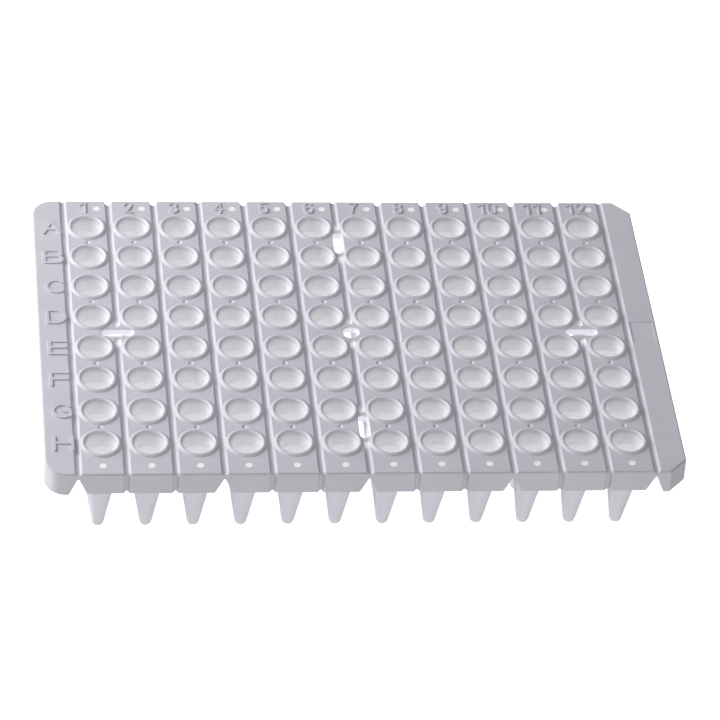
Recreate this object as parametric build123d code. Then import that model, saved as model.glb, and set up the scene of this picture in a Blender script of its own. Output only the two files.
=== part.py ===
from build123d import *
import os
from math import pi, tan

# A 96-well thin-wall reaction plate: one polypropylene moulding of a deck, a short skirt and tapered tubes.
#
# The frame: +X runs along the numbered columns, +Y from row H towards row A, +Z up. The origin is under the
# middle of the plate, at the height of the tube tips that it stands on. All sizes are in millimetres.

# The well grid
PITCH = 9.0  # between neighbouring wells, both ways
COLUMNS = 12
ROWS = 8

# The deck
END_MARGIN = 10.5  # from the end columns' centres to the deck's short edges
SIDE_MARGIN = 8.4  # from the outer rows' centres to the deck's long edges
DECK_THICKNESS = 1.5
EDGE_ROUNDING = 0.3  # of the deck's top outer edge
ROUND_CORNER = 4.0  # radius of the two corners at column 1
CUT_CORNER = 3.3  # legs of the two cut corners at the last column

# The skirt
SKIRT_WALL = 0.9
SKIRT_DROP = 4.65  # below the deck's top, along the front and back
END_SKIRT_DROP = 5.0  # the same, round the two ends
DRAFT_ANGLE = 2.0  # degrees that the skirt leans out, downwards

# The tubes
TUBE_LENGTH = 20.3  # from the deck's top to the tip
TUBE_RADIUS = 3.15
TAPER_START = 7.8  # depth below the deck's top where the tube starts to narrow
TIP_RADIUS = 1.08  # of the taper, carried down to the tip's plane
TIP_FLAT_RADIUS = 0.25
TIP_WALL = 0.5  # thickness of the tube's bottom
TAPER_WALL = 0.35  # wall at the lower end of the taper
BORE_WALL = 0.53  # between the bore and the tube's outside, above the taper
LEAD_IN_WALL = 0.37  # the same along the wider first stretch of the bore
LEAD_IN_DEPTH = 2.6
LEDGE_RISE = 0.3  # the height of the small slope between the two

# The raised rim round each well's mouth, measured out or in from the tube's outside
RIM_OUT = 0.78  # to the rim's foot on the deck
SHOULDER_OUT = 0.5  # to where the outer slope would meet the level of the crest
CREST_OUT = 0.15
LIP_IN = 0.03  # to where the inner slope would meet the level of the crest
MOUTH_IN = 0.21
MOUTH_LEVEL = 0.08  # of the rim's inner edge, above the deck
RIM_HEIGHT = 0.4

# The grooves between the columns, and where they give way
GROOVE_WIDTH = 1.44
GROOVE_FLOOR = 0.45
GROOVE_DEPTH = 0.5
GROOVE_BEND = 0.5  # radius of the floor where a groove turns down the skirt
GROOVE_FOOT_WIDTH = 1.0  # of the same groove at the skirt's lower edge
LAND = 0.65  # left flat between a groove's end and a hole

# The break notches in the skirt, one at each groove
NOTCH_EVERY = 3  # every third groove has a large notch, and the rest a small one
NOTCH_WIDTH = 3.3
NOTCH_APEX_DROP = 1.05  # depth of the large notch's apex below the deck's top
NOTCH_APEX_ROUNDING = 0.2
NOTCH_FOOT_ROUNDING = 0.5
NICK_WIDTH = 0.85
NICK_HEIGHT = 0.35
NICK_ROUNDING = 0.15

# The openings through the deck
CENTRE_HOLE_RADIUS = 1.6
SLOT_LENGTH = 6.3
SLOT_WIDTH = 2.0
OPENING_CHAMFER = 0.12

# Moulding marks
GATE_RADIUS = 0.5
GATE_FLOOR_RADIUS = 0.2
GATE_DEPTH = 0.25
EJECTOR_RADIUS = 0.68
EJECTOR_DEPTH = 0.05
EJECTOR_INSET = 2.4  # from the deck's long edges to the marks' centres
BACK_EJECTOR_SHIFT = 2.05  # along X, beside the column numbers

# The plain recess on the wide margin after the last column
RECESS_LENGTH = 6.0
RECESS_WIDTH = 4.45
RECESS_DEPTH = 0.15
RECESS_INSET = 0.75  # from the deck's end

# The raised index lettering
TEXT_RISE = 0.25
LETTER_HEIGHT = 4.2
LETTER_STROKE = 0.6
LETTER_INSET = 3.5  # from the deck's end to the letters' centres
NUMBER_HEIGHT = 3.3
NUMBER_STROKE = 0.38
NUMBER_INSET = 2.25  # from the deck's back edge to the numbers' centres
NUMBER_SHIFT = -0.63
DIGIT_GAP = 0.65

OVERRUN = 1.0  # how far a cut runs past the surface that it opens
ROOT = 0.3  # how deep an added shape is sunk into the deck, so that they join

# Places that follow from the sizes above
DECK_LENGTH = (COLUMNS - 1) * PITCH + 2 * END_MARGIN
DECK_WIDTH = (ROWS - 1) * PITCH + 2 * SIDE_MARGIN
DECK_TOP = TUBE_LENGTH
BORE_RADIUS = TUBE_RADIUS - BORE_WALL
LEAD_IN_RADIUS = TUBE_RADIUS - LEAD_IN_WALL
RIM_RADIUS = TUBE_RADIUS + RIM_OUT
SHOULDER_RADIUS = TUBE_RADIUS + SHOULDER_OUT
CREST_RADIUS = TUBE_RADIUS + CREST_OUT
LIP_RADIUS = TUBE_RADIUS - LIP_IN
MOUTH_RADIUS = TUBE_RADIUS - MOUTH_IN
COLUMN_X = [(i - (COLUMNS - 1) / 2) * PITCH for i in range(COLUMNS)]
ROW_Y = [((ROWS - 1) / 2 - i) * PITCH for i in range(ROWS)]
GROOVE_X = [(i - COLUMNS / 2) * PITCH for i in range(COLUMNS + 1)]
BETWEEN_Y = [(upper + lower) / 2 for upper, lower in zip(ROW_Y, ROW_Y[1:])]  # midway between two rows
HOLE_GROOVE = COLUMNS // 2  # the groove that the centre hole and the slots along Y lie in
SLOT_GROOVES = (1, COLUMNS - 1)  # the grooves that the slots along X lie across
HOLE_Y = BETWEEN_Y[(ROWS - 1) // 2]
SLOT_Y = (BETWEEN_Y[0], BETWEEN_Y[-1])
LEAN = tan(DRAFT_ANGLE * pi / 180)
GROOVE_SLOPE = (GROOVE_WIDTH - GROOVE_FLOOR) / 2 / GROOVE_DEPTH

# Each stroke of a character is a line through two points or an arc through three, in a cell one unit high
STROKES = {
    "A": [((0, 0), (0.44, 1)), ((0.44, 1), (0.88, 0)), ((0.15, 0.33), (0.73, 0.33))],
    "B": [
        ((0, 0), (0, 1)),
        ((0, 1), (0.66, 1)),
        ((0.66, 1), (0.895, 0.765), (0.66, 0.53)),
        ((0, 0.53), (0.68, 0.53)),
        ((0.68, 0.53), (0.945, 0.265), (0.68, 0)),
        ((0, 0), (0.68, 0)),
    ],
    "C": [((0.84, 0.84), (0, 0.5), (0.84, 0.16))],
    "D": [
        ((0, 0), (0, 1)),
        ((0, 1), (0.42, 1)),
        ((0.42, 1), (0.92, 0.5), (0.42, 0)),
        ((0, 0), (0.42, 0)),
    ],
    "E": [((0, 0), (0, 1)), ((0, 1), (0.9, 1)), ((0, 0.52), (0.84, 0.52)), ((0, 0), (0.9, 0))],
    "F": [((0, 0), (0, 1)), ((0, 1), (0.9, 1)), ((0, 0.5), (0.82, 0.5))],
    "G": [
        ((0.84, 0.84), (0, 0.5), (0.84, 0.16)),
        ((0.88, 0.14), (0.88, 0.46)),
        ((0.88, 0.46), (0.55, 0.46)),
    ],
    "H": [((0, 0), (0, 1)), ((0.92, 0), (0.92, 1)), ((0, 0.52), (0.92, 0.52))],
    "0": [
        ((0, 0.72), (0.25, 1), (0.5, 0.72)),
        ((0.5, 0.72), (0.5, 0.28)),
        ((0.5, 0.28), (0.25, 0), (0, 0.28)),
        ((0, 0.28), (0, 0.72)),
    ],
    "1": [((0.36, 0), (0.36, 1)), ((0.36, 1), (0, 0.74))],
    "2": [
        ((0.02, 0.75), (0.26, 1), (0.5, 0.73)),
        ((0.5, 0.73), (0.36, 0.4), (0, 0)),
        ((0, 0), (0.54, 0)),
    ],
    "3": [
        ((0.02, 0.82), (0.25, 1), (0.47, 0.77)),
        ((0.47, 0.77), (0.38, 0.57), (0.2, 0.53)),
        ((0.2, 0.53), (0.5, 0.27), (0.25, 0)),
        ((0.25, 0), (0.09, 0.06), (0, 0.2)),
    ],
    "4": [((0.4, 0), (0.4, 1)), ((0.4, 1), (0, 0.3)), ((0, 0.3), (0.55, 0.3))],
    "5": [
        ((0.48, 1), (0.09, 1)),
        ((0.09, 1), (0.04, 0.54)),
        ((0.04, 0.54), (0.27, 0.62), (0.5, 0.31)),
        ((0.5, 0.31), (0.25, 0), (0, 0.18)),
    ],
    "6": [
        ((0.47, 0.84), (0.28, 1), (0.05, 0.75)),
        ((0.05, 0.75), (0, 0.29)),
        ((0, 0.29), (0.25, 0.58), (0.5, 0.29)),
        ((0.5, 0.29), (0.25, 0), (0, 0.29)),
    ],
    "7": [((0, 1), (0.54, 1)), ((0.54, 1), (0.29, 0.55), (0.17, 0))],
    "8": [
        ((0.03, 0.77), (0.25, 1), (0.47, 0.77)),
        ((0.47, 0.77), (0.25, 0.54), (0.03, 0.77)),
        ((0, 0.27), (0.25, 0.54), (0.5, 0.27)),
        ((0.5, 0.27), (0.25, 0), (0, 0.27)),
    ],
    "9": [
        ((0, 0.71), (0.25, 1), (0.5, 0.71)),
        ((0.5, 0.71), (0.25, 0.42), (0, 0.71)),
        ((0.5, 0.71), (0.45, 0.25)),
        ((0.45, 0.25), (0.22, 0), (0.03, 0.16)),
    ],
}


def deck_outline():
    """The deck seen from above: two rounded corners at column 1, and two cut ones at the last column."""
    outline = Rectangle(DECK_LENGTH, DECK_WIDTH)
    outline = fillet(outline.vertices().group_by(Axis.X)[0], ROUND_CORNER)
    return chamfer(outline.vertices().group_by(Axis.X)[-1], CUT_CORNER)


def deck_and_skirt():
    """The deck with its hollow underside, before anything is cut through it."""
    outline = deck_outline()
    block = extrude(Pos(Z=DECK_TOP) * outline, -END_SKIRT_DROP, taper=-DRAFT_ANGLE)
    block = fillet(block.edges().group_by(Axis.Z)[-1], EDGE_ROUNDING)
    inner = offset(outline, -SKIRT_WALL + LEAN * DECK_THICKNESS, kind=Kind.INTERSECTION)
    hollow_depth = END_SKIRT_DROP - DECK_THICKNESS + OVERRUN
    hollow = extrude(Pos(Z=DECK_TOP - DECK_THICKNESS) * inner, -hollow_depth, taper=-DRAFT_ANGLE)
    return block - hollow


def notch_corners(index, left_drop, right_drop):
    """The three corners of one notch in the skirt's lower edge, each with its rounding."""
    x = GROOVE_X[index]
    large = index % NOTCH_EVERY == 0
    half = (NOTCH_WIDTH if large else NICK_WIDTH) / 2
    apex = NOTCH_APEX_DROP if large else SKIRT_DROP - NICK_HEIGHT
    foot = NOTCH_FOOT_ROUNDING if large else NICK_ROUNDING
    tip = NOTCH_APEX_ROUNDING if large else NICK_ROUNDING
    return [((x - half, -left_drop), foot), ((x, -apex), tip), ((x + half, -right_drop), foot)]


def lower_edge_cuts():
    """What is cut away under the front and back skirts, notches included."""
    corners = []
    for index in range(COLUMNS + 1):
        left = END_SKIRT_DROP if index == 0 else SKIRT_DROP
        right = END_SKIRT_DROP if index == COLUMNS else SKIRT_DROP
        corners += notch_corners(index, left, right)
    reach = DECK_LENGTH / 2 + OVERRUN
    ends = [(reach, -END_SKIRT_DROP), (reach, -END_SKIRT_DROP - OVERRUN)]
    ends += [(-reach, -END_SKIRT_DROP - OVERRUN), (-reach, -END_SKIRT_DROP)]
    points = [point for point, rounding in corners] + ends
    radii = [rounding for point, rounding in corners] + [0] * len(ends)
    profile = make_face(FilletPolyline(*points, radius=radii, close=True))
    depth = SKIRT_WALL + 2 * OVERRUN
    cut = extrude(Plane.XZ * profile, depth / 2, both=True)
    offset_y = DECK_WIDTH / 2 + OVERRUN - depth / 2
    return [Pos(0, side * offset_y, DECK_TOP) * cut for side in (-1, 1)]


def groove_section(height):
    """The groove's cross-section, its floor's middle at the origin, opening along +Y of the sketch."""
    half = GROOVE_FLOOR / 2
    top = GROOVE_WIDTH / 2
    right = [(half, 0), (top, GROOVE_DEPTH), (top, height)]
    left = [(-x, y) for x, y in reversed(right)]
    return make_face(Polyline(*right, *left, close=True))


def groove_run(x, low, high):
    """One straight stretch of a groove along Y, with rounded ends."""
    height = GROOVE_DEPTH + OVERRUN
    floor = Pos(x, 0, DECK_TOP - GROOVE_DEPTH)
    run = extrude(Plane.XZ * groove_section(height), -(high - low))
    half = GROOVE_FLOOR / 2
    end = Cone(half, half + GROOVE_SLOPE * height, height, align=(Align.CENTER, Align.CENTER, Align.MIN))
    return [floor * Pos(Y=low) * run, floor * Pos(Y=low) * end, floor * Pos(Y=high) * end]


def skirt_run(x, side):
    """Where a groove bends over the deck's edge and runs out down the skirt, for side -1 or +1."""
    height = GROOVE_DEPTH + OVERRUN
    bend_y = DECK_WIDTH / 2 - GROOVE_DEPTH - GROOVE_BEND
    axis = Axis((x, -bend_y, DECK_TOP - GROOVE_DEPTH - GROOVE_BEND), (1, 0, 0))
    section = Pos(x, -bend_y, DECK_TOP - GROOVE_DEPTH) * (Plane.XZ * groove_section(height))
    bend = revolve(section, axis, 90)
    foot_depth = (GROOVE_FOOT_WIDTH - GROOVE_FLOOR) / 2 / GROOVE_SLOPE
    drop = END_SKIRT_DROP - GROOVE_DEPTH - GROOVE_BEND
    lean = drop * LEAN + GROOVE_DEPTH - foot_depth
    turned = Plane((0, 0, 0), x_dir=(1, 0, 0), z_dir=(0, 0, 1)) * Rot(Z=180) * groove_section(height)
    start = Pos(x, -bend_y - GROOVE_BEND, DECK_TOP - GROOVE_DEPTH - GROOVE_BEND) * turned
    run = extrude(start, drop + OVERRUN, dir=(0, -lean, -drop))
    parts = [bend, run]
    return parts if side < 0 else [mirror(p, Plane.XZ) for p in parts]


def openings_along(index):
    """The Y spans that this groove has to stop for: the centre hole and the slots."""
    if index == HOLE_GROOVE:
        hole = (HOLE_Y - CENTRE_HOLE_RADIUS, HOLE_Y + CENTRE_HOLE_RADIUS)
        slots = [(y - SLOT_LENGTH / 2, y + SLOT_LENGTH / 2) for y in SLOT_Y]
        return sorted(slots + [hole])
    if index in SLOT_GROOVES:
        return [(HOLE_Y - SLOT_WIDTH / 2, HOLE_Y + SLOT_WIDTH / 2)]
    return []


def grooves():
    """Every groove between the columns, cut short at the openings."""
    cuts = []
    end_gap = LAND + GROOVE_WIDTH / 2
    bend_y = DECK_WIDTH / 2 - GROOVE_DEPTH - GROOVE_BEND
    for index, x in enumerate(GROOVE_X):
        straight = index % NOTCH_EVERY == 0
        reach = DECK_WIDTH / 2 + OVERRUN if straight else bend_y
        start = -reach
        for low, high in openings_along(index):
            cuts += groove_run(x, start, low - end_gap)
            start = high + end_gap
        cuts += groove_run(x, start, reach)
        if not straight:
            cuts += skirt_run(x, -1) + skirt_run(x, 1)
    return cuts


def through_openings():
    """The centre hole and the four slots, as solids that pass through the deck, chamfered at its top."""
    slot = SlotOverall(SLOT_LENGTH, SLOT_WIDTH)
    hole_x = GROOVE_X[HOLE_GROOVE]
    outlines = [Pos(hole_x, HOLE_Y) * Circle(CENTRE_HOLE_RADIUS)]
    outlines += [Pos(GROOVE_X[index], HOLE_Y) * slot for index in SLOT_GROOVES]
    outlines += [Pos(hole_x, y) * Rot(Z=90) * slot for y in SLOT_Y]
    cuts = []
    for outline in outlines:
        cuts.append(extrude(Pos(Z=DECK_TOP + OVERRUN) * outline, -DECK_THICKNESS - 2 * OVERRUN))
        mouth = extrude(Pos(Z=DECK_TOP - OPENING_CHAMFER) * outline, OVERRUN, taper=-45)
        cuts.append(mouth)
    return cuts


def moulding_marks():
    """The gate dimples between each pair of wells, and the shallow ejector marks along the long edges."""
    gate = Pos(Z=DECK_TOP) * Cone(GATE_FLOOR_RADIUS, 2 * GATE_RADIUS - GATE_FLOOR_RADIUS, 2 * GATE_DEPTH)
    gates = [Pos(x, y) * gate for x in COLUMN_X for y in BETWEEN_Y[::2]]
    mark = Cylinder(EJECTOR_RADIUS, 2 * EJECTOR_DEPTH)
    edge_y = DECK_WIDTH / 2 - EJECTOR_INSET
    front = [Pos(x, -edge_y, DECK_TOP) * mark for x in COLUMN_X]
    back = [Pos(x + BACK_EJECTOR_SHIFT, edge_y, DECK_TOP) * mark for x in COLUMN_X]
    return gates + front + back


def plain_recess():
    """The shallow blank panel on the margin after the last column."""
    x = DECK_LENGTH / 2 - RECESS_INSET - RECESS_WIDTH / 2
    return Pos(x, 0, DECK_TOP) * Box(RECESS_WIDTH, RECESS_LENGTH, 2 * RECESS_DEPTH)


def tube():
    """One well: the rim, the tube's wall and its closed tip, as a body of revolution."""
    taper_z = DECK_TOP - TAPER_START
    middle_z = DECK_TOP - DECK_THICKNESS / 2
    crest_z = DECK_TOP + RIM_HEIGHT
    lead_in_z = DECK_TOP - LEAD_IN_DEPTH
    crest = (CREST_RADIUS, crest_z)
    rim_base = (RIM_RADIUS, DECK_TOP)
    mouth = (MOUTH_RADIUS, DECK_TOP + MOUTH_LEVEL)
    outer_wall = Vector(TUBE_RADIUS - TIP_RADIUS, taper_z).normalized()
    tip_start = Vector(TIP_RADIUS, 0) + outer_wall * (TIP_RADIUS - TIP_FLAT_RADIUS)
    inner_tip_radius = TIP_RADIUS - TAPER_WALL + (TUBE_RADIUS - TIP_RADIUS) * TIP_WALL / taper_z
    corners = [rim_base, (RIM_RADIUS, middle_z), (TUBE_RADIUS, middle_z), (TUBE_RADIUS, taper_z), tip_start]
    outside = [Bezier(crest, (SHOULDER_RADIUS, crest_z), rim_base), Polyline(*corners)]
    outside += [TangentArc(tip_start, (TIP_FLAT_RADIUS, 0), tangent=-outer_wall)]
    bore = [(LEAD_IN_RADIUS, lead_in_z), (BORE_RADIUS, lead_in_z - LEDGE_RISE), (BORE_RADIUS, taper_z)]
    inside = [Bezier(crest, (LIP_RADIUS, crest_z), mouth)]
    inside += [Polyline(mouth, *bore, (inner_tip_radius, TIP_WALL), (0, TIP_WALL))]
    bottom = [Polyline((0, TIP_WALL), (0, 0), (TIP_FLAT_RADIUS, 0))]
    return revolve(Plane.XZ * make_face(outside + inside + bottom), Axis.Z)


def character(name, height, stroke):
    """One index character as a sketch with round-ended strokes, standing on y = 0 from x = 0."""
    scale = height - stroke
    shape = Sketch()
    for points in STROKES[name]:
        places = [(x * scale + stroke / 2, y * scale + stroke / 2) for x, y in points]
        line = Line(*places) if len(places) == 2 else ThreePointArc(*places)
        shape += SlotArc(line, stroke)
    return shape


def label(text, height, stroke):
    """A row of characters as one sketch, centred on the origin."""
    shape, x = Sketch(), 0
    for name in text:
        glyph = character(name, height, stroke)
        shape += Pos(x, 0) * glyph
        x = shape.bounding_box().max.X + DIGIT_GAP
    middle = shape.bounding_box().center()
    return Pos(-middle.X, -middle.Y) * shape


def lettering():
    """The raised row letters down the margin at column 1, and the column numbers along the back."""
    labels = []
    letter_x = -DECK_LENGTH / 2 + LETTER_INSET
    for row, y in enumerate(ROW_Y):
        labels.append(Pos(letter_x, y) * label(chr(ord("A") + row), LETTER_HEIGHT, LETTER_STROKE))
    number_y = DECK_WIDTH / 2 - NUMBER_INSET
    for column, x in enumerate(COLUMN_X):
        labels.append(Pos(x + NUMBER_SHIFT, number_y) * label(str(column + 1), NUMBER_HEIGHT, NUMBER_STROKE))
    return [extrude(Pos(Z=DECK_TOP - ROOT) * each, ROOT + TEXT_RISE) for each in labels]


def well_plate():
    """The whole moulding as one solid."""
    hole_radius = (MOUTH_RADIUS + TUBE_RADIUS) / 2
    wells = [Pos(x, y) for x in COLUMN_X for y in ROW_Y]
    drill = Pos(Z=DECK_TOP) * Cylinder(hole_radius, 2 * (DECK_THICKNESS + OVERRUN))
    body = deck_and_skirt() - lower_edge_cuts()
    body -= [place * drill for place in wells] + through_openings()
    body -= grooves()
    body -= moulding_marks() + [plain_recess()]
    well = tube()
    body += [place * well for place in wells]
    body += lettering()
    return body


plate = well_plate()
print("solids", len(plate.solids()), "faces", len(plate.faces()), "volume", round(plate.volume, 1))
os.makedirs("parts", exist_ok=True)
export_step(plate, "parts/well_plate.step")
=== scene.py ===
# %% [markdown]
# # A 96-well reaction plate
# A well plate is one thin white moulding: a flat deck, a short skirt round it, and 96 small tapered tubes
# that hang from the deck on a 9 mm grid. Its shape was built to exact sizes before, so this lesson keeps
# that shape and gives it what a drawing can't: the look of satin white polypropylene, and light.
#
# We begin by loading the plate. It arrives as one mesh in metres, with +X along the numbered columns,
# +Y from row H towards row A, and +Z up out of the wells.

# %% Load the plate
import math
import bpy
from mathutils import Matrix, Vector


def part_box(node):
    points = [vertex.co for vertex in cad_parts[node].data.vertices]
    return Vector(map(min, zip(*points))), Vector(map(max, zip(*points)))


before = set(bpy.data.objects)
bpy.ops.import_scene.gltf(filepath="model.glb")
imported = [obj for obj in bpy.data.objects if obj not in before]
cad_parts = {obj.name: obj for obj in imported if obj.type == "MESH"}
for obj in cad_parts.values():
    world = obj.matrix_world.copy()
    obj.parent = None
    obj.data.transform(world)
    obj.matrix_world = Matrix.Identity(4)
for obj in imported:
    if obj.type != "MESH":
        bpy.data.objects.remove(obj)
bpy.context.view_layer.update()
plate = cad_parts["well_plate"]
print("triangles:", len(plate.data.polygons))

# %% [markdown]
# ## A small language for materials
# A material is a graph of nodes joined by links. Long graphs are hard to read as a list of links, so this
# class wraps one output socket and lets us write the sums as sums: `a * b + 1` adds two Math nodes. Colours
# never go through it, because a Math node would turn them grey. They have `mix` instead.


# %% A socket that can be added and multiplied
class Wire:
    """One output socket of a node, on which Python's operators add Math nodes."""

    def __init__(self, tree, socket):
        self.tree = tree
        self.socket = socket

    def math(self, operation, *others):
        return node(self.tree, "ShaderNodeMath", {"operation": operation}, [self, *others])

    def __add__(self, other):
        return self.math("ADD", other)

    def __sub__(self, other):
        return self.math("SUBTRACT", other)

    def __mul__(self, other):
        return self.math("MULTIPLY", other)

    def __truediv__(self, other):
        return self.math("DIVIDE", other)

    def __radd__(self, other):
        return self + other

    def __rmul__(self, other):
        return self * other

    def __rsub__(self, other):
        return node(self.tree, "ShaderNodeMath", {"operation": "SUBTRACT"}, [other, self])

    def __abs__(self):
        return self.math("ABSOLUTE")


def node(tree, kind, settings=None, inputs=(), output=0):
    """Adds a node: its settings first, then its inputs' values or wires. Returns one output as a wire."""
    made = tree.nodes.new(kind)
    for name, value in (settings or {}).items():
        setattr(made, name, value)
    pairs = inputs.items() if isinstance(inputs, dict) else enumerate(inputs)
    for key, value in pairs:
        if isinstance(value, Wire):
            tree.links.new(value.socket, made.inputs[key])
        else:
            made.inputs[key].default_value = value
    return Wire(tree, made.outputs[output])


def step(wire, start, end, curve="SMOOTHSTEP"):
    """0 where the wire is at start, 1 where it is at end, and a smooth curve or a straight line between."""
    inputs = {"Value": wire, "From Min": start, "From Max": end}
    return node(wire.tree, "ShaderNodeMapRange", {"interpolation_type": curve}, inputs)


def mix(mask, first, second):
    """The first colour where the mask is 0, and the second where it is 1."""
    inputs = {0: mask, 6: first, 7: second}
    return node(mask.tree, "ShaderNodeMix", {"data_type": "RGBA"}, inputs, output=2)


def length(a, b):
    """The length of the flat vector (a, b)."""
    return (a * a + b * b).math("SQRT")


# %% [markdown]
# ## Where a point is on the plate
# The finish follows the shape: inside a well the plastic looks different from the deck. We could mark each
# face by hand, but the shape says it already. Object coordinates are metres from the plate's own origin, so
# depth below the deck comes from z. The wells repeat every 9 mm both ways, so what is left of x and y after
# whole pitches says how far a point is from the nearest well's axis. That pattern goes on for ever, so one
# more mask ends it at the edges of the 12 by 8 field.
#
# The deck's height is measured from the mesh rather than typed in: the rims stand 0.4 mm above the deck, and
# nothing is higher.

# %% The coordinates of the finish
MM = 0.001
PITCH = 9 * MM
RIM_HEIGHT = 0.4 * MM
low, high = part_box("well_plate")
DECK_TOP = high.z - RIM_HEIGHT
print("deck top at", round(DECK_TOP / MM, 2), "mm")

white = bpy.data.materials.new("satin_white_polypropylene")
white.use_nodes = True
tree = white.node_tree
tree.nodes.clear()
place = node(tree, "ShaderNodeTexCoord", output=3)
split = tree.nodes.new("ShaderNodeSeparateXYZ")
tree.links.new(place.socket, split.inputs[0])
x, y, z = (Wire(tree, out) for out in split.outputs)


def from_axis(wire):
    """How far a coordinate is from the middle of its own 9 mm cell."""
    return (wire / PITCH).math("FRACT") * PITCH - PITCH / 2


cell_x = from_axis(x)
cell_y = from_axis(y)
radius = length(cell_x, cell_y)
depth = DECK_TOP - z
HALF_COLUMNS, HALF_ROWS = 6, 4
past_field = (abs(x) - HALF_COLUMNS * PITCH).math("MAXIMUM", abs(y) - HALF_ROWS * PITCH)
in_field = step(past_field, 0.0, -0.1 * MM)
print("coordinate nodes:", len(tree.nodes))

# %% [markdown]
# ## The plastic's own colour
# Polypropylene with a white pigment is a cool light grey rather than paper white, and faintly uneven: the
# melt flows outwards from the small gates between the wells and leaves soft clouds. One slow noise is enough
# for the clouds. The colour changes by about one part in twenty, because more would look like dirt.

# %% Deck colour with faint clouds
DECK = (0.70, 0.695, 0.765, 1)
CLOUD = (0.67, 0.665, 0.735, 1)
clouds = node(tree, "ShaderNodeTexNoise", {}, {"Vector": place, "Scale": 90, "Detail": 3, "Roughness": 0.55})
deck_colour = mix(step(clouds, 0.35, 0.65), DECK, CLOUD)
print("deck colour:", DECK[:3], "to", CLOUD[:3])

# %% [markdown]
# ## Thin walls let light through
# A tube's wall is half a millimetre thick, a third of the deck. Light passes through such a wall, so the
# tubes look paler outside than the skirt in front of them, and inside a well the wall gets brighter the
# deeper we look, where we would expect shade. Scattering below the surface could do this, but at this scale
# it needs many samples and turns blotchy. So that light is painted in instead: a paler colour on the tubes
# and inner walls, and a little painted glow on the inner walls. They look the same, and stay the same from
# every side. The raised rim's inner lip gets the faint painted glow of the well's top, so that the rim and
# the well flow into each other.
#
# The middle of the wall separates inside from outside. It goes straight down, and below the taper's start it
# leans in with the tube. Close to the tip it ends at the tube's bottom, which counts as outside.

# %% Masks for the tubes, inside and outside
TAPER_START = 7.8 * MM
WALL_MIDDLE = 2.93 * MM
WALL_LEAN = 0.1775
BOTTOM = 19.9 * MM
DECK_UNDERSIDE = 1.5 * MM
LIP_RADIUS = 3.2 * MM
BLUR = 0.05 * MM
taper = (depth - TAPER_START).math("MAXIMUM", 0.0)
past_wall = radius - WALL_MIDDLE + taper * WALL_LEAN
at_tip = step(depth, BOTTOM - BLUR, BOTTOM + BLUR)
inside = step(past_wall, BLUR, -BLUR) * (1 - at_tip) * in_field
outside = step(past_wall, -0.02 * MM, 0.02 * MM).math("MAXIMUM", at_tip) * in_field
below_deck = step(depth, DECK_UNDERSIDE - 0.1 * MM, DECK_UNDERSIDE + 0.1 * MM)
tube_outside = below_deck * step(radius, 3.4 * MM, 3.3 * MM) * outside
lip = step(radius, LIP_RADIUS + 0.15 * MM, LIP_RADIUS) * step(depth, BLUR, -BLUR) * in_field
well = inside.math("MAXIMUM", lip)

# %% The thin walls' colour and light
# The paler TUBE and BORE colours and the bore glow are painted light, standing for light through the thin
# walls.
TUBE = (0.90, 0.885, 0.96, 1)
BORE = (0.90, 0.89, 0.905, 1)
LIGHT_AT_TOP, LIGHT_DEEP = 0.028, 0.145
DEEP_START, DEEP_END = 1.0 * MM, 5.0 * MM
bore_share = inside * step(depth, -0.1 * MM, DEEP_START)
thin_colour = mix(bore_share, mix(tube_outside, deck_colour, TUBE), BORE)
deeper = step(depth, DEEP_START, DEEP_END, "LINEAR")
bore_light = well * (deeper * LIGHT_DEEP + LIGHT_AT_TOP)
print("the wells are brightest from", DEEP_END / MM, "mm down")

# %% [markdown]
# ## The holes in the deck
# A round hole in the middle and four slots go right through. Light that comes up through them makes their
# walls, and the tubes just below them, as bright as the wells, and that light is painted on as a glow. The
# distance to the nearest hole is the distance to a point or to a short line, less the hole's half width.

# %% Painted glow round the holes
HOLE_RADIUS, SLOT_HALF_WIDTH, SLOT_HALF_RUN = 1.6 * MM, 1.0 * MM, 2.15 * MM
END_SLOT_X, SIDE_SLOT_Y = 45 * MM, 27 * MM
HOLE_PAINTED_GLOW = 0.30


def past_line(along, across):
    """How far a point is past a slot's edge: the distance to its middle line, less its half width."""
    past_end = (abs(along) - SLOT_HALF_RUN).math("MAXIMUM", 0.0)
    return length(past_end, across) - SLOT_HALF_WIDTH


to_end_slots = past_line(abs(x) - END_SLOT_X, y)
to_side_slots = past_line(abs(y) - SIDE_SLOT_Y, x)
to_hole = (length(x, y) - HOLE_RADIUS).math("MINIMUM", to_end_slots).math("MINIMUM", to_side_slots)
below_top = step(depth, 0.05 * MM, 0.4 * MM) * step(depth, 9.0 * MM, 5.5 * MM)
# Painted light: the openings' walls and the tubes below them glow by a fixed amount.
painted_hole_glow = step(to_hole, 3.5 * MM, 1.5 * MM) * below_top * (1 - well) * HOLE_PAINTED_GLOW
print("nodes so far:", len(tree.nodes))

# %% [markdown]
# ## Ejector marks
# Steel pins push the plate out of its mould and leave small round marks along both long edges. The pins' ends
# are polished, so the marks are smooth, and the small bright ovals where they catch the light are a painted
# highlight: a paler colour and a faint painted glow. Along the back they stand beside the column numbers,
# which is why their grid is shifted.

# %% Mask for the ejector marks
MARK_RADIUS, MARK_Y, BACK_SHIFT = 0.75 * MM, 37.5 * MM, 2.05 * MM
front_mark = length(cell_x, y + MARK_Y)
back_mark = length(from_axis(x - BACK_SHIFT), y - MARK_Y)
FIELD_END = HALF_COLUMNS * PITCH
in_columns = step(abs(x), FIELD_END, FIELD_END - 0.1 * MM)
mark = step(front_mark.math("MINIMUM", back_mark), MARK_RADIUS, 0.8 * MARK_RADIUS) * in_columns
# The marks' paler colour and their glow are a painted highlight.
MARK_PAINTED_HIGHLIGHT = (0.95, 0.95, 0.97, 1)
MARK_PAINTED_GLOW = 0.13
marked_colour = mix(mark, thin_colour, MARK_PAINTED_HIGHLIGHT)
print("ejector marks are", 2 * MARK_RADIUS / MM, "mm across")
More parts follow.
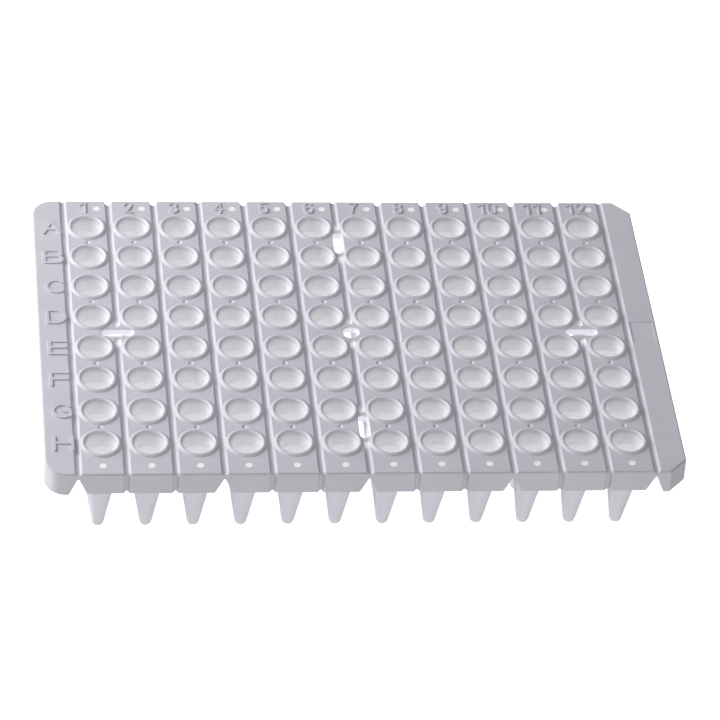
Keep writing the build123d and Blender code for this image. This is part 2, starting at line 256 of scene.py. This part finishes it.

# %% [markdown]
# ## The deck's edge
# The deck's outer edge is rounded with a radius of 0.3 mm. That narrow band turns away from the light, and a
# thin grey line of painted shade along it sets the deck off from the skirt. Its mask is the distance in from
# the
# outline: rounded corners at column 1, and cut corners at column 12.

# %% A thin line of painted shade along the edge
HALF_LENGTH, HALF_WIDTH, ROUND_CORNER, CUT_CORNER = 60 * MM, 39.9 * MM, 4 * MM, 3.3 * MM
left_run = (-(HALF_LENGTH - ROUND_CORNER) - x).math("MAXIMUM", 0.0)
side_run = (abs(y) - (HALF_WIDTH - ROUND_CORNER)).math("MAXIMUM", 0.0)
left_border = length(left_run, side_run) - ROUND_CORNER
cut_border = (x + abs(y) - (HALF_LENGTH + HALF_WIDTH - CUT_CORNER)) / math.sqrt(2)
border = left_border.math("MAXIMUM", x - HALF_LENGTH).math("MAXIMUM", cut_border)
edge = step(border, -0.3 * MM, -0.15 * MM) * step(depth, 0.45 * MM, 0.3 * MM)
# The grey is painted shade on the edge's rounding.
EDGE_PAINTED_SHADE = (0.50, 0.49, 0.54, 1)
EDGE_SHADE_SHARE = 0.4
colour = mix(edge * EDGE_SHADE_SHARE, marked_colour, EDGE_PAINTED_SHADE)
print("grey line:", EDGE_PAINTED_SHADE[:3])

# %% [markdown]
# ## Grain and gloss
# The mould is lightly textured, so the surface has a fine grain about a tenth of a millimetre across, on
# slow waves of a millimetre or two from cooling. Both are bumps a few micrometres high: enough to break up
# a highlight close by, and too small to see from a step away. The gloss changes with the clouds, the wells
# are smoother than the deck, and the ejector marks are smoothest.

# %% Grain, waves and roughness
GRAIN_SCALE, WAVE_SCALE, GRAIN_SHARE = 7000, 600, 0.4
BUMP_HEIGHT = 0.01 * MM
DECK_ROUGHNESS, CLOUD_ROUGHNESS, WELL_GLOSS, MARK_GLOSS = 0.40, 0.08, 0.10, 0.26
grain = node(tree, "ShaderNodeTexNoise", {}, {"Vector": place, "Scale": GRAIN_SCALE, "Detail": 2})
waves = node(tree, "ShaderNodeTexNoise", {}, {"Vector": place, "Scale": WAVE_SCALE, "Detail": 1})
height = (grain * GRAIN_SHARE + waves) * (1 - mark)
bump = node(tree, "ShaderNodeBump", {}, {"Strength": 0.5, "Distance": BUMP_HEIGHT, "Height": height})
roughness = DECK_ROUGHNESS + clouds * CLOUD_ROUGHNESS - inside * WELL_GLOSS - mark * MARK_GLOSS
print("bump height in micrometres:", BUMP_HEIGHT * 1e6)

# %% [markdown]
# ## The finished plastic
# One shader carries it all. Everything that is the same all over the plate, such as the index of refraction
# of polypropylene, is set on the shader itself.

# %% The shader
# The emission is painted light: the glow of the wells, the holes and the ejector marks' highlight.
glow = (bore_light + painted_hole_glow + mark * MARK_PAINTED_GLOW).math("MINIMUM", 1.0)
DARK, GLOW = (0, 0, 0, 1), (1.0, 0.995, 1.0, 1)
shader = tree.nodes.new("ShaderNodeBsdfPrincipled")
tree.links.new(colour.socket, shader.inputs["Base Color"])
tree.links.new(roughness.socket, shader.inputs["Roughness"])
tree.links.new(bump.socket, shader.inputs["Normal"])
tree.links.new(mix(glow, DARK, GLOW).socket, shader.inputs["Emission Color"])
shader.inputs["Emission Strength"].default_value = 1.0
shader.inputs["IOR"].default_value = 1.49
output = tree.nodes.new("ShaderNodeOutputMaterial")
tree.links.new(shader.outputs[0], output.inputs[0])
plate.data.materials.clear()
plate.data.materials.append(white)
print("nodes in the plastic:", len(tree.nodes))

# %% [markdown]
# ## The floor
# A plain pale table, wide enough to fill every view. It gives off light, as a light table does, so it stays
# white under the plate. The plate gets its light from below from lamps of its own, so the floor is left out
# of the light that the plate sees, and casts no shadow on it.

# %% Floor
FLOOR_REACH, FLOOR_LIGHT = 3.0, 1.1
floor_mesh = bpy.data.meshes.new("floor")
corners = [(a * FLOOR_REACH, b * FLOOR_REACH, 0) for a, b in ((-1, -1), (1, -1), (1, 1), (-1, 1))]
floor_mesh.from_pydata(corners, [], [(0, 1, 2, 3)])
floor = bpy.data.objects.new("floor", floor_mesh)
bpy.context.scene.collection.objects.link(floor)
pale = bpy.data.materials.new("pale_floor")
pale.use_nodes = True
paint = pale.node_tree.nodes["Principled BSDF"]
paint.inputs["Base Color"].default_value = (0.9, 0.9, 0.9, 1)
paint.inputs["Roughness"].default_value = 0.9
paint.inputs["Emission Color"].default_value = (1, 1, 1, 1)
paint.inputs["Emission Strength"].default_value = FLOOR_LIGHT
floor_mesh.materials.append(pale)
floor.visible_diffuse = False
floor.visible_glossy = False
floor.visible_transmission = False
floor.visible_shadow = False

# %% [markdown]
# ## Light
# Shallow grooves, rims and letters on a white part can only be read by their shading, so the light has a
# clear direction: a large soft source stands high on the left, and almost nothing comes from the right.
# Slopes that face left are bright and slopes that face right are dark. Weaker sources in front and behind
# keep the skirt readable, and a light table under the plate lights the tubes from below.
#
# Each far source is a sun lamp 50 degrees across. A sun's strength doesn't depend on its place, so a
# direction is all that it needs, and the wide angle makes its shadows soft. One nearer soft box adds more on
# the left end than on the right. The sky behind the table is plain and gives no light of its own.

# %% Sky
world = bpy.data.worlds.new("studio")
bpy.context.scene.world = world
world.use_nodes = True
world.node_tree.nodes["Background"].inputs["Color"].default_value = (0.95, 0.95, 0.95, 1)
world.cycles_visibility.diffuse = False
world.cycles_visibility.glossy = False
world.cycles_visibility.transmission = False


# %% Soft sources far away
SOURCE_WIDTH = math.radians(50)


def far_light(name, strength, azimuth, elevation):
    """A sun lamp in the direction given in degrees: azimuth from +X towards +Y, elevation above the table."""
    around, up = math.radians(azimuth), math.radians(elevation)
    direction = Vector((math.cos(around) * math.cos(up), math.sin(around) * math.cos(up), math.sin(up)))
    data = bpy.data.lights.new(name, "SUN")
    data.energy = strength
    data.angle = SOURCE_WIDTH
    lamp = bpy.data.objects.new(name, data)
    bpy.context.scene.collection.objects.link(lamp)
    lamp.rotation_mode = "QUATERNION"
    lamp.rotation_quaternion = (-direction).to_track_quat("-Z", "Y")
    return lamp


SOURCES = (
    ("high_left", 1.13, 180, 50),
    ("overhead", 0.17, 0, 90),
    ("low_left", 0.05, 180, 15),
    ("low_front_right", 0.80, 315, 15),
    ("table_middle", 0.40, 0, -90),
    ("table_back", 1.30, 90, -35),
    ("table_left", 1.30, 180, -35),
    ("table_front", 1.20, 270, -35),
    ("table_right", 0.20, 0, -35),
)
lamps = [far_light(*source) for source in SOURCES]
print("sources far away:", len(lamps))

# %% A soft box near the left end
BOX_POWER, BOX_SIDE = 1.13, 0.25
BOX_PLACE, BOX_AIM = Vector((-0.30, 0.12, 0.19)), Vector((0, 0, 0.02))
box_data = bpy.data.lights.new("soft_box", "AREA")
box_data.energy = BOX_POWER
box_data.size = BOX_SIDE
box = bpy.data.objects.new("soft_box", box_data)
bpy.context.scene.collection.objects.link(box)
box.location = BOX_PLACE
box.rotation_mode = "QUATERNION"
box.rotation_quaternion = (BOX_AIM - BOX_PLACE).to_track_quat("-Z", "Y")
print("soft box:", round(BOX_PLACE.length, 2), "m away")

# %% [markdown]
# ## Camera
# The camera looks down at about 41 degrees from the front, a little left of the middle, and is rolled by six
# degrees. It stands about 0.75 m away, so the far tubes are only slightly smaller than the near ones. Its
# three axes are worked out from those angles and set directly.

# %% Camera
AZIMUTH, ELEVATION, ROLL = map(math.radians, (-9.3585, 40.8828, 6.0427))
DISTANCE, LENS = 0.7542, 197.333
AIM = Vector((0.00098, -0.00818, DECK_TOP))
back = Vector((
    math.sin(AZIMUTH) * math.cos(ELEVATION),
    -math.cos(AZIMUTH) * math.cos(ELEVATION),
    math.sin(ELEVATION),
))
right = Vector((math.cos(AZIMUTH), math.sin(AZIMUTH), 0))
upward = back.cross(right)
tilted_right = math.cos(ROLL) * right + math.sin(ROLL) * upward
tilted_up = math.cos(ROLL) * upward - math.sin(ROLL) * right
camera_data = bpy.data.cameras.new("camera")
camera_data.lens = LENS
camera_data.sensor_width = 36
camera_data.clip_start = 0.01
camera = bpy.data.objects.new("camera", camera_data)
bpy.context.scene.collection.objects.link(camera)
axes = Matrix((tilted_right, tilted_up, back)).transposed().to_4x4()
camera.matrix_world = Matrix.Translation(AIM + back * DISTANCE) @ axes
bpy.context.scene.camera = camera
bpy.context.scene.view_settings.view_transform = "Standard"
print("camera at", [round(v, 3) for v in camera.matrix_world.translation])
